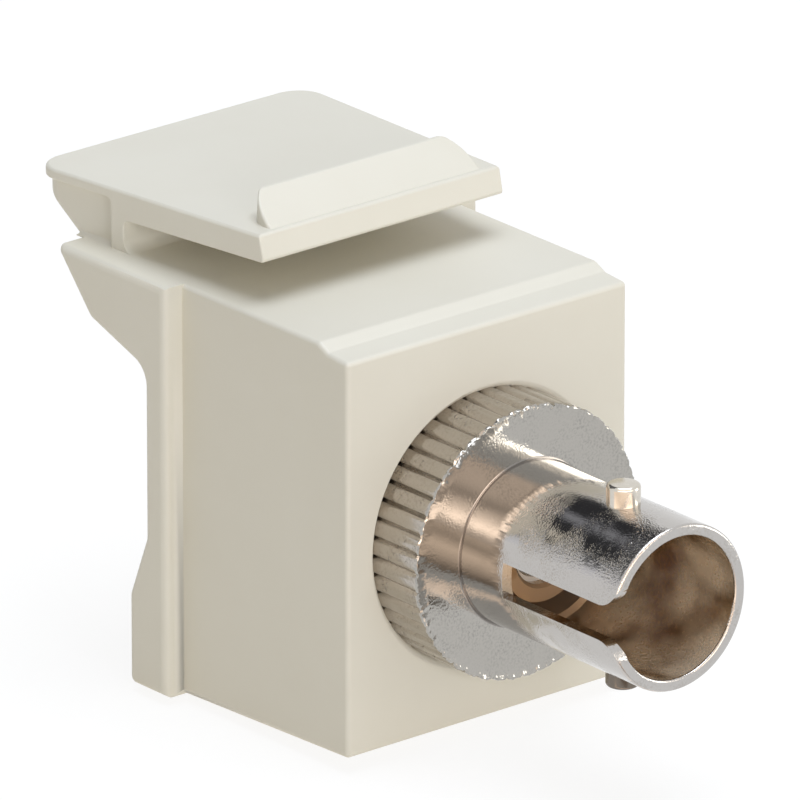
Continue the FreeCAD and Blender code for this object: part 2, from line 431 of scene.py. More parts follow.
# The faced ends are flatter than the cast skin and mirror the barrel. Their greyer colour is painted shade
# that darkens what they reflect.
FACED = NickelCasting(
    "faced_nickelled_end",
    Slot.CASTING,
    bright="ADAAA4",
    dull="999792",
    grain_mm=0.11,
    grain_depth_mm=0.008,
    hub_share=1.0,
    gloss=(0.09, 0.14),
)
# Plate is thin and dull inside the barrel, so the warm base tone shows and reflections blur. The bottom of
# the bore is darkened as painted shade.
BORE = ThinPlateAndShade(
    "thin_plated_bore_and_painted_shade",
    Slot.CASTING,
    bright="FFF0D6",
    dull="F0DFC4",
    metal=0.6,
    grain_mm=0.2,
    grain_depth_mm=0.002,
    gloss=(0.26, 0.34),
)
# Rolled teeth are softer than the barrel. Their greyer, warmer colour is painted shade for the shaded
# housing face that they reflect.
KNURL = NickelCasting(
    "knurled_nickel",
    Slot.CASTING,
    bright="B5AFA7",
    dull="9D978F",
    grain_mm=0.12,
    grain_depth_mm=0.0015,
    hub_share=1.0,
    gloss=(0.2, 0.3),
)
PIN = PolishedNickel("polished_nickel_pin", Slot.PIN)
CERAMIC = GroundZirconia("ground_zirconia", Slot.CERAMIC)


def new_piece(name: str, mesh: Shape) -> Piece:
    """Make an object at the origin from a mesh in metres.

    Args:
        name: Name of the piece.
        mesh: Its mesh, which is freed.

    Returns:
        The linked object.
    """
    data = bpy.data.meshes.new(name)
    mesh.to_mesh(data)
    mesh.free()
    piece = bpy.data.objects.new(name, data)
    bpy.context.scene.collection.objects.link(piece)
    return piece


def quarter(steps: int) -> list[float]:
    """Angles of a quarter turn, from nought, in even steps."""
    return [math.pi / 2 * i / steps for i in range(steps + 1)]


def round_axis(radius: float, y: float, angle: float) -> Vector:
    """Point round the adapter's axis, in metres."""
    return Vector((radius * math.cos(angle), y, radius * math.sin(angle))) * MM


def join_rows(mesh: Shape, rows: list[Ring], closed: bool) -> None:
    """Fill between rows of points with four-sided faces.

    Args:
        mesh: Mesh that gets the faces.
        rows: Rows of points, as many in each.
        closed: Whether a row runs round to its first point.
    """
    count = len(rows[0])
    for a, b in zip(rows, rows[1:]):
        for i in range(count if closed else count - 1):
            j = (i + 1) % count
            mesh.faces.new((a[i], a[j], b[j], b[i]))


@dataclass(kw_only=True)
class Part:
    """Visible piece that stands for a CAD node. Its faces' numbers are places among its finishes."""

    name: str
    node: str
    finishes: tuple[Finish, ...]
    sharp_deg: float
    mesh: Shape = field(default_factory=bmesh.new, init=False, repr=False)

    def build(self) -> None:
        """Fill the mesh, in metres."""
        raise NotImplementedError

    def copy_cad(self) -> None:
        """Start from a merged copy of the CAD node's mesh."""
        mesh = self.mesh
        mesh.from_mesh(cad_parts[self.node].data)
        bmesh.ops.remove_doubles(mesh, verts=mesh.verts, dist=WELD_MM * MM)
        bmesh.ops.dissolve_degenerate(mesh, edges=mesh.edges, dist=SLIVER_MM * MM)
        # Triangles of one flat become one face, so that its shading has no creases.
        flat = math.radians(FLAT_DEG)
        bmesh.ops.dissolve_limit(mesh, angle_limit=flat, verts=mesh.verts, edges=mesh.edges)

    def face_out(self) -> None:
        """Turn the faces outwards."""
        bmesh.ops.recalc_face_normals(self.mesh, faces=self.mesh.faces)

    def mount(self, piece: Piece) -> None:
        """Fix the piece to its body."""
        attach(piece, Body.MODULE.value)

    def dress(self) -> None:
        """Build the piece and give it its shading, its finishes and its place in the frame."""
        self.build()
        piece = new_piece(self.name, self.mesh)
        piece.data.shade_smooth()
        piece.data.set_sharp_from_angle(angle=math.radians(self.sharp_deg))
        weighted = piece.modifiers.new("flat_faces", "WEIGHTED_NORMAL")
        weighted.keep_sharp = True
        weighted.weight = FLAT_WEIGHT
        for finish in self.finishes:
            piece.data.materials.append(finish.material())
        self.mount(piece)
        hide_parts(self.node)
        log.info("%s: %d faces, %s", piece.name, len(piece.data.polygons), self.finishes[0].name)


@dataclass(kw_only=True)
class Housing(Part):
    """Moulded block with its rim, wings and rear hollow."""

    name: str = "housing_shell"
    node: str = "keystone_housing"
    finishes: tuple[Finish, ...] = (IVORY,)
    sharp_deg: float = 34.0

    def build(self) -> None:
        """Copy the CAD block, which has its moulded radii."""
        self.copy_cad()


@dataclass(kw_only=True)
class Latch(Part):
    """Latch arm and the moulded root that joins it to the housing."""

    name: str = "latch_flexure"
    node: str = "latch_arm"
    finishes: tuple[Finish, ...] = (IVORY,)
    sharp_deg: float = 34.0
    edge_mm: float = 0.07
    edge_steps: int = 3
    root_y: float = 15.2
    flex_high: float = 10.3
    deck_z: float = 9.1
    foot_z: float = 9.45
    sink: float = 0.04
    web_lean: float = 1.456
    post_near: float = 14.78
    post_far: float = 15.56
    post_near_half: float = 6.808
    web_far: float = 17.6
    web_near_half: float = 6.577
    web_far_half: float = 6.705
    post_cove: float = 0.5
    web_cove: float = 0.28
    cove_steps: int = 12
    plug_half: float = 6.28
    plug_near: float = 14.37
    plug_far: float = 16.9
    plug_low: float = 8.52
    tip_y: float = 6.77
    tip_z: float = 12.0
    plate_fall: float = 0.03695
    rib_half: float = 5.505
    rib_draw: float = 0.48
    rib_bow: float = 2.9
    rib_lean: float = 0.06
    rib_end_round: float = 0.15
    rib_end_steps: int = 4
    rib_steps: int = 10
    rib_ridge: tuple[Pair, ...] = (
        ((8.45, 13.094), (8.5, 13.125), (8.56, 13.14))
        + ((8.67, 13.14), (8.71, 13.12), (8.73, 13.06))
    )
    rib_near: float = 7.03
    rib_far: float = 8.86

    def plate_z(self, y: float) -> float:
        """Height of the plate's top at a depth."""
        return self.tip_z - (y - self.tip_y) * self.plate_fall

    def flatten_rib(self) -> None:
        """Lay the plain rib of the copy just under the plate's top, inside the foot of the moulded one."""
        for vert in self.mesh.verts:
            x, y, z = vert.co / MM
            top = self.plate_z(y)
            if not self.rib_near - self.sink < y < self.rib_far + self.sink or z < top - self.sink / 4:
                continue
            if abs(x) > self.rib_half + self.sink:
                continue
            if y > self.rib_near + self.sink:
                inner = self.rib_reach(self.rib_far, top) - 2 * self.sink
                x = max(-inner, min(inner, x))
            if z > top + self.sink / 4:
                z = top - self.sink
            vert.co = Vector((x, y, z)) * MM

    def rib_reach(self, y: float, z: float) -> float:
        """Half of the rib's length, whose ends draw in towards the back and lean a little.

        Args:
            y: Depth.
            z: Height.

        Returns:
            The half length there.
        """
        run = max(0.0, (y - self.rib_near) / (self.rib_ridge[0][0] - self.rib_near))
        rise = max(0.0, z - self.plate_z(y))
        return self.rib_half - self.rib_draw * run**self.rib_bow - self.rib_lean * rise

    def rib(self) -> None:
        """Add the catch rib, whose ends draw in and have rounded edges."""
        foot = self.plate_z(self.rib_near)
        crest_y, crest_z = self.rib_ridge[0]
        section = []
        # The first row lies under the plate, so that the ramp rises out of it without a seam.
        for i in range(self.rib_steps):
            share = i / self.rib_steps - self.sink
            y = self.rib_near + share * (crest_y - self.rib_near)
            section.append((y, foot + share * (crest_z - foot)))
        section += list(self.rib_ridge) + [(self.rib_far, self.plate_z(self.rib_far))]
        turns = quarter(self.rib_end_steps)
        rows = []
        for y, z in section:
            low = self.plate_z(y) - 2 * self.sink
            r = min(self.rib_end_round, z - low)
            half = self.rib_reach(y, z - r)
            right = [(half - r * (1 - math.sin(t)), y, z - r * (1 - math.cos(t))) for t in turns]
            for i in range(1, self.rib_steps + 1):
                height = z - r + (low - z + r) * i / self.rib_steps
                right.append((self.rib_reach(y, height), y, height))
            rows.append([(-x, y, h) for x, y, h in reversed(right)] + right)
        self.loft(rows)

    def seat(self) -> None:
        """Stretch the foot of the post and web down into the housing's top."""
        drop = self.foot_z - self.deck_z + self.sink
        for vert in self.mesh.verts:
            if abs(vert.co.z / MM - self.foot_z) < self.sink / 2:
                lean = self.web_lean if vert.co.y / MM > self.web_far else 0.0
                vert.co -= Vector((0, drop * lean, drop)) * MM

    def soften(self) -> None:
        """Round the sharp edges of the arm as its mould leaves them."""
        self.mesh.normal_update()
        limit = math.radians(self.sharp_deg)
        edges = [e for e in self.mesh.edges if e.is_manifold and e.calc_face_angle() > limit]
        bmesh.ops.bevel(
            self.mesh,
            geom=edges,
            offset=self.edge_mm * MM,
            offset_type="OFFSET",
            segments=self.edge_steps,
            profile=0.5,
            affect="EDGES",
            clamp_overlap=False,
        )

    def loft(self, rows: list[list[Point]]) -> None:
        """Add a closed solid through rows of corners.

        Args:
            rows: Rows of points, from one end of the solid to the other.
        """
        rings = [[self.mesh.verts.new(Vector(point) * MM) for point in row] for row in rows]
        join_rows(self.mesh, rings, closed=True)
        self.mesh.faces.new(list(reversed(rings[0])))
        self.mesh.faces.new(rings[-1])

    def cove(self, ends: list[Pair], outward: Pair, radius: float) -> None:
        """Add a hollow fillet between an upright wall and the housing's top.

        Args:
            ends: Ends of the wall's foot, in plan.
            outward: Unit step away from the wall, in plan.
            radius: Radius of the fillet.
        """
        turns = quarter(self.cove_steps)
        section = [(radius * (1 - math.sin(t)), radius * (1 - math.cos(t))) for t in turns]
        section += [(-self.sink, radius), (-self.sink, -self.sink), (radius, -self.sink)]
        dx, dy = outward
        self.loft([[(x + dx * out, y + dy * out, self.deck_z + up) for out, up in section] for x, y in ends])

    def root(self) -> None:
        """Add the fillets round the foot and the plug between the wings."""
        post = self.post_near_half
        self.cove([(-post, self.post_near), (post, self.post_near)], (0, -1), self.post_cove)
        for side in (-1, 1):
            ends = [(side * self.web_near_half, self.post_far), (side * self.web_far_half, self.web_far)]
            self.cove(ends, (side, 0), self.web_cove)
        half, near, far = self.plug_half, self.plug_near, self.plug_far
        plan = ((half, near), (half, far), (-half, far), (-half, near))
        self.loft([[(x, y, z) for x, y in plan] for z in (self.plug_low, self.deck_z)])

    def build(self) -> None:
        """Arm with its moulded edges, rib and root."""
        self.copy_cad()
        self.seat()
        self.flatten_rib()
        self.soften()
        self.rib()
        self.root()
        self.face_out()

    def mount(self, piece: Piece) -> None:
        """Bake the latch's place into its mesh.

        Args:
            piece: The latch.
        """
        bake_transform(piece)


@dataclass(kw_only=True)
class Barrel(Part):
    """One half of the adapter: hub, slotted bayonet barrel and the tube that holds the sleeve."""

    finishes: tuple[Finish, ...] = (CASTING, FACED, BORE, KNURL)
    sharp_deg: float = 40.0
    way: Way
    root_y: float
    hub: list[Pair]
    bare_step: int = -1
    outer: float = 3.5
    bore: float = 3.0
    length: float = 9.37
    groove: float = 0.1
    groove_path: tuple[Pair, ...] = ((1.0, 0.0), (0.5, 0.6), (0.0, 0.0), (0.0, -0.6))
    lip_round: float = 0.12
    key_half: float = 0.75
    key_length: float = 6.75
    key_flare: float = 0.95
    step: float = 0.2
    step_stand: float = 1.5
    floor: float = 1.0
    tube: float = 2.17
    tip_stand: float = 1.17
    lip: float = 1.45
    lead: float = 0.15
    lip_length: float = 0.5
    chamber: float = 1.62
    around: int = 360
    gap_columns: int = 10
    stations: int = 14
    flare_steps: int = 12
    lip_steps: int = 6

    def at(self, stand: float) -> float:
        """Depth at a distance out from the shoulder."""
        return self.root_y + self.way.value * stand

    def half_gap(self, stand: float) -> float:
        """Half of the slot's width, which flares at the mouth.

        Args:
            stand: Distance out from the shoulder.

        Returns:
            The half width there.
        """
        run = stand - (self.length - self.key_flare)
        if run <= 0:
            return self.key_half
        reach = min(run, self.key_flare)
        return self.key_half + self.key_flare - math.sqrt(self.key_flare**2 - reach**2)

    def ring(self, radius: float, y: float, gap: float | None) -> Ring:
        """Add one ring of points, with columns that follow the slot's edges.

        Args:
            radius: Radius of the ring.
            y: Depth of the ring.
            gap: Half of the slot's width there, or None for even columns.

        Returns:
            The ring's points, from the slot's upper edge over the gap and on round.
        """
        if gap is None:
            edge = math.pi - math.pi * self.gap_columns / self.around
            angles = [edge + 2 * math.pi * i / self.around for i in range(self.around)]
        else:
            heights = [gap * (1 - 2 * i / self.gap_columns) for i in range(self.gap_columns + 1)]
            angles = [math.pi - math.asin(height / radius) for height in heights]
            rest = self.around - self.gap_columns
            span = 2 * math.pi - 2 * math.asin(gap / radius)
            edge = angles[-1]
            angles += [edge + span * i / rest for i in range(1, rest)]
        return [self.mesh.verts.new(round_axis(radius, y, a)) for a in angles]

    def skin(self, a: Ring, b: Ring, columns: range, zone: Zone) -> None:
        """Join two rings over a range of columns.

        Args:
            a: First ring.
            b: Second ring.
            columns: Columns to fill.
            zone: Part of the skin that the faces belong to.
        """
        for i in columns:
            j = (i + 1) % self.around
            self.mesh.faces.new((a[i], a[j], b[j], b[i])).material_index = zone.value

    def wall_section(self) -> list[Pair]:
        """Section of the slotted wall, out along the outside, round the lip and back along the bore.

        Returns:
            Radius and distance out from the shoulder, the same distances on both sides.
        """
        inner = self.length - self.key_length
        straight = self.length - self.key_flare
        brink = self.length - self.lip_round
        stands = [inner + (straight - inner) * i / self.stations for i in range(self.stations + 1)]
        stands += [straight + (brink - straight) * i / self.flare_steps for i in range(1, self.flare_steps)]
        outside = [(self.outer, s) for s in stands]
        bore = [(self.bore, s) for s in stands]
        for turn in quarter(self.lip_steps):
            cut = self.lip_round * (1 - math.cos(turn))
            stand = brink + self.lip_round * math.sin(turn)
            outside.append((self.outer - cut, stand))
            bore.append((self.bore + cut, stand))
        return outside + list(reversed(bore))

    def wall(self) -> list[Ring]:
        """Add the slotted wall of the barrel with its rounded lip.

        Returns:
            The wall's rings, from the outside at the slot's end to the bore there.
        """
        rings = [self.ring(r, self.at(s), self.half_gap(s)) for r, s in self.wall_section()]
        solid = range(self.gap_columns, self.around)
        half = len(rings) // 2
        for k, (a, b) in enumerate(zip(rings, rings[1:])):
            self.skin(a, b, solid, Zone.OUTSIDE if k < half + self.lip_steps else Zone.BORE)
        self.skin(rings[0], rings[-1], range(self.gap_columns), Zone.OUTSIDE)
        for i in (0, self.gap_columns):
            for k in range(half - 1):
                a, b, c, d = rings[k], rings[k + 1], rings[-2 - k], rings[-1 - k]
                self.mesh.faces.new((a[i], b[i], c[i], d[i])).material_index = Zone.OUTSIDE.value
        return rings

    def build(self) -> None:
        """Closed shell of the half, from the hub's back round to the sleeve chamber."""
        everywhere = range(self.around)
        key = self.key_half
        rings = [self.ring(r, y, None) for r, y in self.hub]
        # A fine groove marks the barrel's root.
        for spread, sink in self.groove_path:
            radius = self.outer + spread * self.groove
            rings.append(self.ring(radius, self.at(-sink * self.groove), key))
        wall = self.wall()
        rings.append(wall[0])
        for i, (a, b) in enumerate(zip(rings, rings[1:])):
            if i != self.bare_step:
                zone = Zone.FACE if i == len(self.hub) - 1 else Zone.OUTSIDE
                self.skin(a, b, everywhere, zone)
        back = [
            (self.bore, self.step_stand + self.step),
            (self.bore - self.step, self.step_stand),
            (self.bore - self.step, -self.floor),
            (self.tube, -self.floor),
            (self.tube, self.tip_stand),
            (self.lip + self.lead, self.tip_stand),
            (self.lip, self.tip_stand - self.lead),
            (self.lip, self.tip_stand - self.lip_length),
            (self.chamber, self.tip_stand - self.lip_length),
        ]
        chain = [wall[-1]] + [self.ring(r, self.at(s), key) for r, s in back]
        chain.append(self.ring(self.chamber, self.hub[0][1], None))
        chain.append(rings[0])
        for a, b in zip(chain, chain[1:]):
            self.skin(a, b, everywhere, Zone.BORE)
        self.face_out()


@dataclass(kw_only=True)
class KnurledBarrel(Barrel):
    """Front half, whose collar has straight teeth pressed into the housing."""

    teeth: int = 45
    crest_radius: float = 5.8
    tooth_depth: float = 0.15
    flank_bow: float = 1.15
    edge_share: float = 0.55
    crest_share: float = 0.58
    face_radius: float = 5.2
    bevel: float = 0.07
    shoulder: float = 1.8
    # Points over the edge: out and back in bevels, forward in burrs, and the share of the jitter.
    edge_path: tuple[tuple[float, float, float, float], ...] = (
        (-3.0, 0.0, 0.0, 0.0),
        (-1.6, 0.0, 1.0, 0.6),
        (-0.6, 0.0, 1.0, 1.0),
        (0.1, 0.4, 0.0, 1.0),
    )
    burr: float = 0.045
    burr_jitter: float = 0.14
    burr_mm: float = 0.15
    collar_back: float = 3.0
    tooth_columns: int = 12
    tooth_weld: float = 0.001
    collar_weld: float = 0.002

    def tooth_radius(self, share: float) -> float:
        """Radius of the tooth at a share of its pitch, from minus a half to a half."""
        flank = max(0.0, (abs(share) - self.crest_share / 2) / (0.5 - self.crest_share / 2))
        return self.crest_radius - self.tooth_depth * flank**self.flank_bow

    def sector(self) -> Piece:
        """One tooth with its share of the collar's face, burred edge and back.

        Returns:
            Scratch object that the knurl tree repeats.
        """
        mesh = bmesh.new()
        rag = mesh.verts.layers.float.new("burr")
        face_y = self.root_y
        columns = []
        for i in range(self.tooth_columns + 1):
            share = i / self.tooth_columns - 0.5
            angle = 2 * math.pi * share / self.teeth
            radius = self.tooth_radius(share)
            # The burr rolls over the grooves, so the edge dips less than they do.
            edge = self.crest_radius - self.edge_share * (self.crest_radius - radius)
            path = [(self.face_radius, face_y, 0.0)]
            for out, rear, fore, ragged in self.edge_path:
                y = face_y + rear * self.bevel - fore * self.burr
                path.append((edge + out * self.bevel, y, ragged))
            path += [
                (radius, face_y + self.shoulder * self.bevel, 0.0),
                (radius, self.collar_back, 0.0),
                (self.face_radius, self.collar_back, 0.0),
            ]
            column = []
            for r, y, ragged in path:
                vert = mesh.verts.new(round_axis(r, y, angle))
                vert[rag] = ragged
                column.append(vert)
            columns.append(column)
        join_rows(mesh, columns, closed=False)
        return new_piece("tooth_sector", mesh)

    def knurl_tree(self) -> Tree:
        """Geometry Nodes that set the tooth round the adapter's axis and ruffle its burr.

        Returns:
            The tree, with inputs for the count, the welding distance and the burr.
        """
        tree = bpy.data.node_groups.new("knurl", "GeometryNodeTree")
        kinds = {"Tooth": "Geometry", "Teeth": "Int"}
        kinds |= dict.fromkeys(("Weld", "Jitter", "Jitter Scale"), "Float")
        for name, kind in kinds.items():
            tree.interface.new_socket(name, in_out="INPUT", socket_type="NodeSocket" + kind)
        tree.interface.new_socket("Collar", in_out="OUTPUT", socket_type="NodeSocketGeometry")
        graph = Graph(tree)
        given = add_node(tree, "NodeGroupInput").outputs
        points = add_node(tree, "GeometryNodePoints", {"Count": given["Teeth"]})
        index = add_node(tree, "GeometryNodeInputIndex").outputs["Index"]
        turn = graph.maths("MULTIPLY", index, graph.maths("DIVIDE", math.tau, given["Teeth"]))
        euler = add_node(tree, "ShaderNodeCombineXYZ", {"Y": turn})
        spin = add_node(tree, "FunctionNodeEulerToRotation", {"Euler": euler.outputs["Vector"]})
        place = add_node(tree, "GeometryNodeInputPosition").outputs["Position"]
        inputs = {"Vector": place, "Scale": given["Jitter Scale"], "Detail": 1.0}
        noise = add_node(tree, "ShaderNodeTexNoise", inputs).outputs["Color"]
        inputs = {0: noise, 1: (0.5, 0.5, 0.5)}
        centred = add_node(tree, "ShaderNodeVectorMath", inputs, operation="SUBTRACT")
        rag = add_node(tree, "GeometryNodeInputNamedAttribute", {"Name": "burr"}, data_type="FLOAT")
        reach = graph.maths("MULTIPLY", rag.outputs["Attribute"], given["Jitter"])
        inputs = {0: centred.outputs["Vector"], "Scale": reach}
        shift = add_node(tree, "ShaderNodeVectorMath", inputs, operation="SCALE")
        inputs = {"Points": points.outputs["Geometry"], "Instance": given["Tooth"]}
        inputs |= {"Rotation": spin.outputs["Rotation"]}
        collar = add_node(tree, "GeometryNodeInstanceOnPoints", inputs).outputs["Instances"]
        steps = {
            "RealizeInstances": {},
            "MergeByDistance": {"Distance": given["Weld"]},
            "SetPosition": {"Offset": shift.outputs["Vector"]},
            "RemoveAttribute": {"Name": "burr"},
            "SetMaterial": {"Material": KNURL.material()},
        }
        for kind, inputs in steps.items():
            node = add_node(tree, "GeometryNode" + kind, {"Geometry": collar} | inputs)
            collar = node.outputs["Geometry"]
        add_node(tree, "NodeGroupOutput", {"Collar": collar})
        return tree

    def collar(self) -> bpy.types.Mesh:
        """Ring of teeth as a plain mesh.

        Returns:
            The mesh, in metres.
        """
        sector = self.sector()
        knurl = sector.modifiers.new("knurl", "NODES")
        knurl.node_group = self.knurl_tree()
        items = knurl.node_group.interface.items_tree
        sockets = {s.name: s.identifier for s in items if s.in_out == "INPUT"}
        knurl[sockets["Teeth"]] = self.teeth
        knurl[sockets["Weld"]] = self.tooth_weld * MM
        knurl[sockets["Jitter"]] = self.burr_jitter * MM
        knurl[sockets["Jitter Scale"]] = per_mm(self.burr_mm)
        graph = bpy.context.evaluated_depsgraph_get()
        ring = bpy.data.meshes.new_from_object(sector.evaluated_get(graph))
        bpy.data.objects.remove(sector)
        return ring

    def build(self) -> None:
        """Closed shell of the half with its knurled collar."""
        super().build()
        mesh = self.mesh
        ring = self.collar()
        old = len(mesh.faces)
        mesh.from_mesh(ring)
        bpy.data.meshes.remove(ring)
        mesh.faces.ensure_lookup_table()
        for face in mesh.faces[old:]:
            front = face.calc_center_median().y < (self.root_y + self.bevel) * MM
            face.material_index = (Zone.FACE if front else Zone.KNURL).value
        bmesh.ops.remove_doubles(mesh, verts=mesh.verts, dist=self.collar_weld * MM)
        self.face_out()


@dataclass(kw_only=True)
class LugPins(Part):
    """Two bayonet lugs, one above and one below a barrel."""

    finishes: tuple[Finish, ...] = (PIN,)
    sharp_deg: float = 50.0
    y: float
    radius: float = 0.7
    inner: float = 3.1
    outer: float = 4.35
    crown: float = 0.16
    dome: float = 0.02
    dome_share: float = 0.35
    dome_dip: float = 0.004
    around: int = 48
    crown_steps: int = 5

    def profile(self) -> list[Pair]:
        """Half section of a lug.

        Returns:
            Radius and height pairs, from the foot to the middle of the crown.
        """
        points = [(self.radius, self.inner)]
        for turn in quarter(self.crown_steps):
            radius = self.radius - self.crown * (1 - math.cos(turn))
            points.append((radius, self.outer - self.dome - self.crown * (1 - math.sin(turn))))
        points.append((self.radius * self.dome_share, self.outer - self.dome_dip))
        return points

    def build(self) -> None:
        """Both lugs as one mesh."""
        mesh = self.mesh
        turns = [2 * math.pi * i / self.around for i in range(self.around)]
        circle = [(math.cos(turn), math.sin(turn)) for turn in turns]
        for sense in (1, -1):
            rings = []
            for r, height in self.profile():
                ring = [(r * x, self.y + r * y, sense * height) for x, y in circle]
                rings.append([mesh.verts.new(Vector(point) * MM) for point in ring])
            foot = mesh.verts.new(Vector((0, self.y, sense * self.inner)) * MM)
            top = mesh.verts.new(Vector((0, self.y, sense * self.outer)) * MM)
            join_rows(mesh, rings, closed=True)
            for i in range(self.around):
                j = (i + 1) % self.around
                mesh.faces.new((foot, rings[0][j], rings[0][i]))
                mesh.faces.new((top, rings[-1][i], rings[-1][j]))
        self.face_out()


@dataclass
class Sleeve:
    """Split sleeve that lines up the two ferrules."""

    node: str = "alignment_sleeve"

    def dress(self) -> None:
        """Give the CAD sleeve its finish."""
        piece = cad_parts[self.node]
        piece.data.materials.clear()
        piece.data.materials.append(CERAMIC.material())
        log.info("%s: %d faces, %s", piece.name, len(piece.data.polygons), CERAMIC.name)


@dataclass
class Softbox:
    """Area lamp that faces the object."""

    name: str
    place: Point
    side: float
    watts: float
    colour: str

    def hang(self, target: Vector) -> None:
        """Put the lamp up.

        Args:
            target: Point that it faces, in metres.
        """
        lamp = bpy.data.lights.new(self.name, "AREA")
        lamp.shape = "SQUARE"
        lamp.size = self.side
        lamp.energy = self.watts
        lamp.color = linear(self.colour)[:3]
        holder = bpy.data.objects.new(self.name, lamp)
        holder.location = self.place
        aim = target - Vector(self.place)
        holder.rotation_euler = aim.to_track_quat("-Z", "Y").to_euler()
        bpy.context.scene.collection.objects.link(holder)


@dataclass
class Card:
    """Bent card that only reflections see, for the bright and dark streaks of a room in the metal."""

    name: str
    colour: str
    glows: tuple[Pair, ...]
    sides: Pair
    fades: Pair = (8.0, 8.0)
    away: float = 0.4
    columns: int = 24
    rows: int = 48

    def glow(self, height: float) -> float:
        """Strength at an elevation in degrees, straight between the card's stops."""
        return float(np.interp(height, *zip(*self.glows)))

    def veil(self, azimuth: float) -> float:
        """Share of the room that the card hides at an azimuth in degrees, soft at both ends."""
        ends = (azimuth - self.sides[0]) / self.fades[0], (self.sides[1] - azimuth) / self.fades[1]
        return max(0.0, min(1.0, *ends))

    def board(self) -> bpy.types.Material:
        """Glowing board that follows the points' strength and cover.

        Returns:
            The material.
        """
        board = bpy.data.materials.new(self.name + "_board")
        tree = blank_tree(board)
        glow = add_node(tree, "ShaderNodeAttribute", attribute_name="glow").outputs["Fac"]
        veil = add_node(tree, "ShaderNodeAttribute", attribute_name="veil").outputs["Fac"]
        clear = add_node(tree, "ShaderNodeBsdfTransparent").outputs["BSDF"]
        light = add_node(tree, "ShaderNodeEmission", {"Color": linear(self.colour), "Strength": glow})
        surface = Graph(tree).cover(veil, clear, light.outputs["Emission"])
        add_node(tree, "ShaderNodeOutputMaterial", {"Surface": surface})
        return board

    def hang(self) -> None:
        """Put the card up, by elevation and azimuth in degrees, on a sphere that is away metres off."""
        mesh = bmesh.new()
        glow = mesh.verts.layers.float.new("glow")
        veil = mesh.verts.layers.float.new("veil")
        foot, head = self.glows[0][0], self.glows[-1][0]
        grid = []
        for i in range(self.columns + 1):
            side = self.sides[0] + (self.sides[1] - self.sides[0]) * i / self.columns
            azimuth = math.radians(side)
            column = []
            for k in range(self.rows + 1):
                height = foot + (head - foot) * k / self.rows
                flat, rise = math.cos(math.radians(height)), math.sin(math.radians(height))
                ray = Vector((math.sin(azimuth) * flat, math.cos(azimuth) * flat, rise))
                point = mesh.verts.new(ray * self.away)
                point[glow] = self.glow(height)
                point[veil] = self.veil(side)
                column.append(point)
            grid.append(column)
        join_rows(mesh, grid, closed=False)
        card = new_piece(self.name, mesh)
        card.data.materials.append(self.board())
        for ray in ("camera", "diffuse", "shadow", "transmission"):
            setattr(card, "visible_" + ray, False)
        card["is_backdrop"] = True


@dataclass
class Studio:
    """White sweep, soft lamps and the cards that the metal mirrors."""

    target: Point = (0.0, 0.004, 0.002)
    ambient: float = 0.33
    floor_side: float = 6.0
    floor_paint: str = "F2F2F0"
    floor_strength: float = 1.06
    floor_glow: float = 0.82
    floor_fill: float = 0.4
    floor_bounce: str = "E6D5B9"
    lamps: list[Softbox] = field(
        default_factory=lambda: [
            Softbox("overhead_box", (0.05, -0.02, 0.55), side=0.4, watts=2.27, colour="ECF3FF"),
            Softbox("right_box", (0.5, -0.35, 0.15), side=0.3, watts=0.35, colour="FFF2E0"),
            Softbox("low_box", (-0.14, -0.48, 0.11), side=0.14, watts=0.74, colour="F2F6FF"),
        ]
    )
    cards: list[Card] = field(
        default_factory=lambda: [
            Card(
                "rear_flag",
                "F4F6FF",
                ((16.0, 1.0), (22.0, 0.8), (25.0, 0.05), (62.0, 0.05)),
                sides=(-47.0, 36.0),
                fades=(9.0, 5.0),
            ),
            Card("rear_gap", "F4F6FF", ((25.0, 0.35), (62.0, 0.35)), sides=(-14.0, 6.0), away=0.39),
            Card(
                "lit_room",
                "FFEBDB",
                ((4.0, 1.2), (9.5, 1.8), (17.5, 5.2), (26.0, 2.9))
                + ((36.0, 0.9), (43.0, 1.75), (48.0, 1.7), (58.0, 1.3)),
                sides=(-205.0, -100.0),
            ),
            Card(
                "near_table",
                "FFE8D4",
                ((-28.0, 0.38), (-24.0, 0.66), (-17.0, 1.5), (-8.0, 2.2), (1.0, 1.1), (8.0, 1.6)),
                sides=(-180.0, -100.0),
                away=0.0185,
            ),
            Card(
                "front_window",
                "FFFBF4",
                ((-6.5, 1.0), (-4.5, 7.0), (11.0, 6.5), (17.0, 1.0)),
                sides=(124.0, 143.0),
                fades=(6.0, 6.0),
                away=0.05,
            ),
            Card(
                "near_floor",
                "FFEBDB",
                ((-39.0, 2.6), (-34.0, 2.3)),
                sides=(-195.0, -130.0),
                fades=(15.0, 15.0),
                away=0.0143,
            ),
        ]
    )

    def seen(self, graph: Graph) -> Socket:
        """Test for rays that look straight at a surface, or by way of a gloss or glass.

        Args:
            graph: Nodes that get the test.

        Returns:
            Socket that is one for such a ray.
        """
        path = add_node(graph.tree, "ShaderNodeLightPath").outputs
        seen = graph.maths("MAXIMUM", path["Is Camera Ray"], path["Is Glossy Ray"])
        return graph.maths("MAXIMUM", seen, path["Is Transmission Ray"])

    def world(self) -> None:
        """White behind the object and in reflections, plain grey light elsewhere."""
        world = bpy.data.worlds.new("sweep")
        bpy.context.scene.world = world
        tree = blank_tree(world)
        graph = Graph(tree)
        light = add_node(tree, "ShaderNodeBackground", {"Color": WHITE, "Strength": self.ambient})
        white = add_node(tree, "ShaderNodeBackground", {"Color": WHITE, "Strength": 1.0})
        surface = graph.cover(self.seen(graph), light.outputs["Background"], white.outputs["Background"])
        add_node(tree, "ShaderNodeOutputWorld", {"Surface": surface})

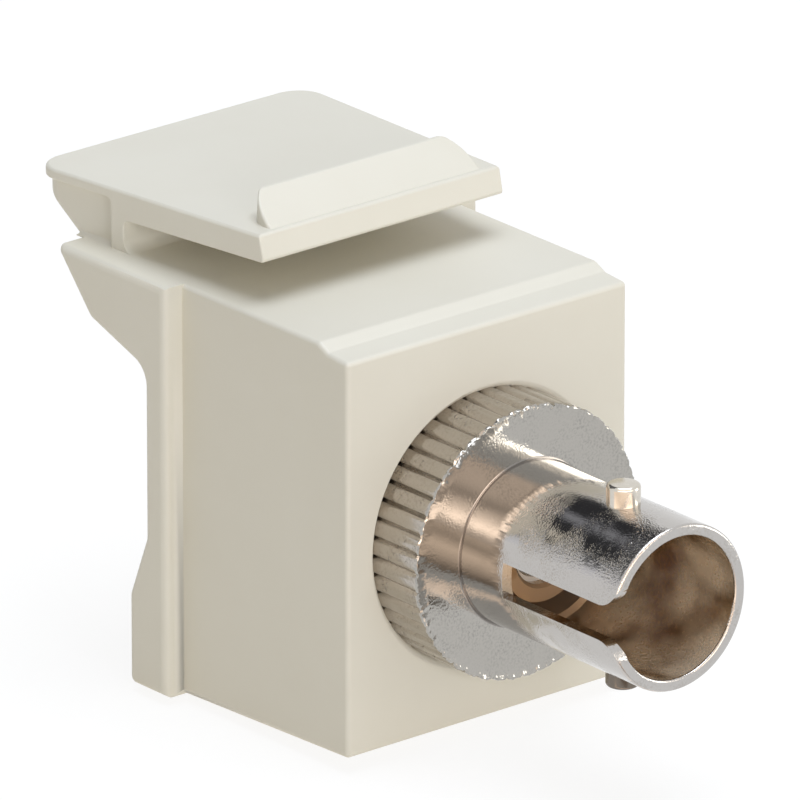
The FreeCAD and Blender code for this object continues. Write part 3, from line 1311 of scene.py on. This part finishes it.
    def floor(self, height: float) -> None:
        """Pale floor that keeps a soft shadow.

        Args:
            height: Height of the floor, in metres.
        """
        mesh = bmesh.new()
        bmesh.ops.create_grid(mesh, x_segments=2, y_segments=2, size=self.floor_side / 2)
        bmesh.ops.translate(mesh, verts=mesh.verts, vec=(0, 0, height))
        floor = new_piece("pale_floor", mesh)
        paint = bpy.data.materials.new("matt_white_paint")
        tree = blank_tree(paint)
        graph = Graph(tree)
        seen = self.seen(graph)
        share = graph.remap(seen, (self.floor_fill, self.floor_glow))
        matt = add_node(tree, "ShaderNodeBsdfDiffuse", {"Color": linear(self.floor_paint)})
        # Daylight off a table round the sweep comes up warm on the plastic.
        tint = graph.mix(seen, linear(self.floor_bounce), WHITE)
        glow = add_node(tree, "ShaderNodeEmission", {"Color": tint, "Strength": self.floor_strength})
        surface = graph.cover(share, matt.outputs["BSDF"], glow.outputs["Emission"])
        add_node(tree, "ShaderNodeOutputMaterial", {"Surface": surface})
        floor.data.materials.append(paint)
        floor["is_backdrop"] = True

    def set_up(self, height: float) -> None:
        """Light the scene.

        Args:
            height: Height of the floor, in metres.
        """
        self.world()
        self.floor(height)
        for card in self.cards:
            card.hang()
        for lamp in self.lamps:
            lamp.hang(Vector(self.target))


@dataclass
class Camera:
    """Long lens at the photograph's place."""

    azimuth_deg: float = -39.808
    elevation_deg: float = 21.017
    distance: float = 700.0
    pixels_per_mm: float = 24.859
    right_mm: float = -3.52
    up_mm: float = 5.028

    def set_up(self) -> None:
        """Make the camera and hand it to the scene."""
        a, e = math.radians(self.azimuth_deg), math.radians(self.elevation_deg)
        back = Vector((math.sin(a) * math.cos(e), -math.cos(a) * math.cos(e), math.sin(e)))
        right = Vector((math.cos(a), math.sin(a), 0))
        up = back.cross(right)
        lens = bpy.data.cameras.new("long_lens")
        lens.sensor_width = SENSOR_MM
        lens.lens = self.pixels_per_mm * self.distance * SENSOR_MM / IMAGE_SIDE
        stand = bpy.data.objects.new("long_lens", lens)
        place = (right * self.right_mm + up * self.up_mm + back * self.distance) * MM
        turn = Matrix((right, up, back)).transposed().to_4x4()
        stand.matrix_world = Matrix.Translation(place) @ turn
        bpy.context.scene.collection.objects.link(stand)
        bpy.context.scene.camera = stand


def main() -> None:
    """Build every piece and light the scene."""
    logging.basicConfig(level=logging.INFO, format="%(name)s %(message)s")
    cad_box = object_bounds()
    Housing().dress()
    Latch().dress()
    KnurledBarrel(
        name="front_barrel",
        node="front_body",
        way=Way.FRONT,
        root_y=-2.43,
        hub=[(4.4, 1.2), (4.4, 3.0), (5.2, 3.0), (5.2, -2.43)],
        bare_step=2,
    ).dress()
    Barrel(
        name="rear_barrel",
        node="rear_body",
        way=Way.REAR,
        root_y=7.63,
        hub=[(4.4, 1.4), (4.4, 3.0), (5.2, 3.0), (5.2, 7.48), (5.05, 7.63)],
    ).dress()
    LugPins(name="front_pins", node="front_lugs", y=-8.4).dress()
    LugPins(name="rear_pins", node="rear_lugs", y=13.6).dress()
    Sleeve().dress()
    Studio().set_up(cad_box[0][2])
    Camera().set_up()
    bpy.context.scene.view_settings.view_transform = "Standard"


if __name__ == "__main__":
    main()
